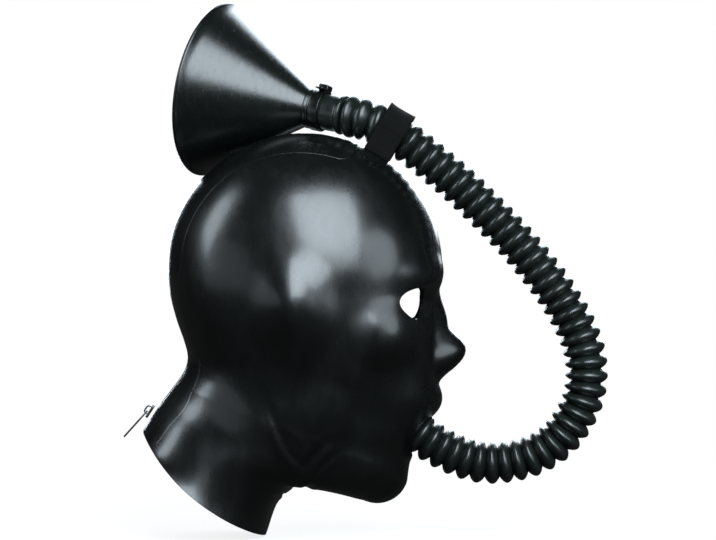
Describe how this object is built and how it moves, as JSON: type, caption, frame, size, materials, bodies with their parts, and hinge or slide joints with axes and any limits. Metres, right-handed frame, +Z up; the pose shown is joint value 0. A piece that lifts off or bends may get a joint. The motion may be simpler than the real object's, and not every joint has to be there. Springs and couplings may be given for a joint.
{
  "type": "latex gag mask",
  "caption": "Glossy black latex hood with a corrugated hose from the mouth over the forehead to a funnel, rear zip, eye holes and a band that holds the hose.",
  "frame": {"origin": "inside of the crown, where the hood bears on a head", "axes": "+Z up, the face looks along -Y, the wearer's left side is at +X"},
  "size_m": [0.1869, 0.3479, 0.3867],
  "materials": {
    "latex": "high gloss",
    "hose_rubber": "satin",
    "funnel_rubber": "satin",
    "webbing": "matte",
    "tape": "woven",
    "steel": "polished",
    "fitting_plastic": "matte"
  },
  "bodies": {
    "hood": {"hood_shell": "latex", "crown_strip": "latex", "zip_tape_left": "tape", "zip_tape_right": "tape", "zip_teeth": "steel", "zip_slider": "steel", "mouth_fitting": "fitting_plastic", "hose": "hose_rubber", "hose_cuff": "hose_rubber", "funnel": "funnel_rubber", "funnel_clamp": "hose_rubber", "hose_strap": "webbing", "strap_tab": "latex"},
    "pull": {"zip_pull": "steel"}
  },
  "joints": [
    {"name": "pull_hinge", "type": "hinge", "parent": "hood", "child": "pull", "pos_m": [0, 0.1136, -0.19871], "axis": [1, 0, 0], "range_deg": [0, 160]}
  ]
}
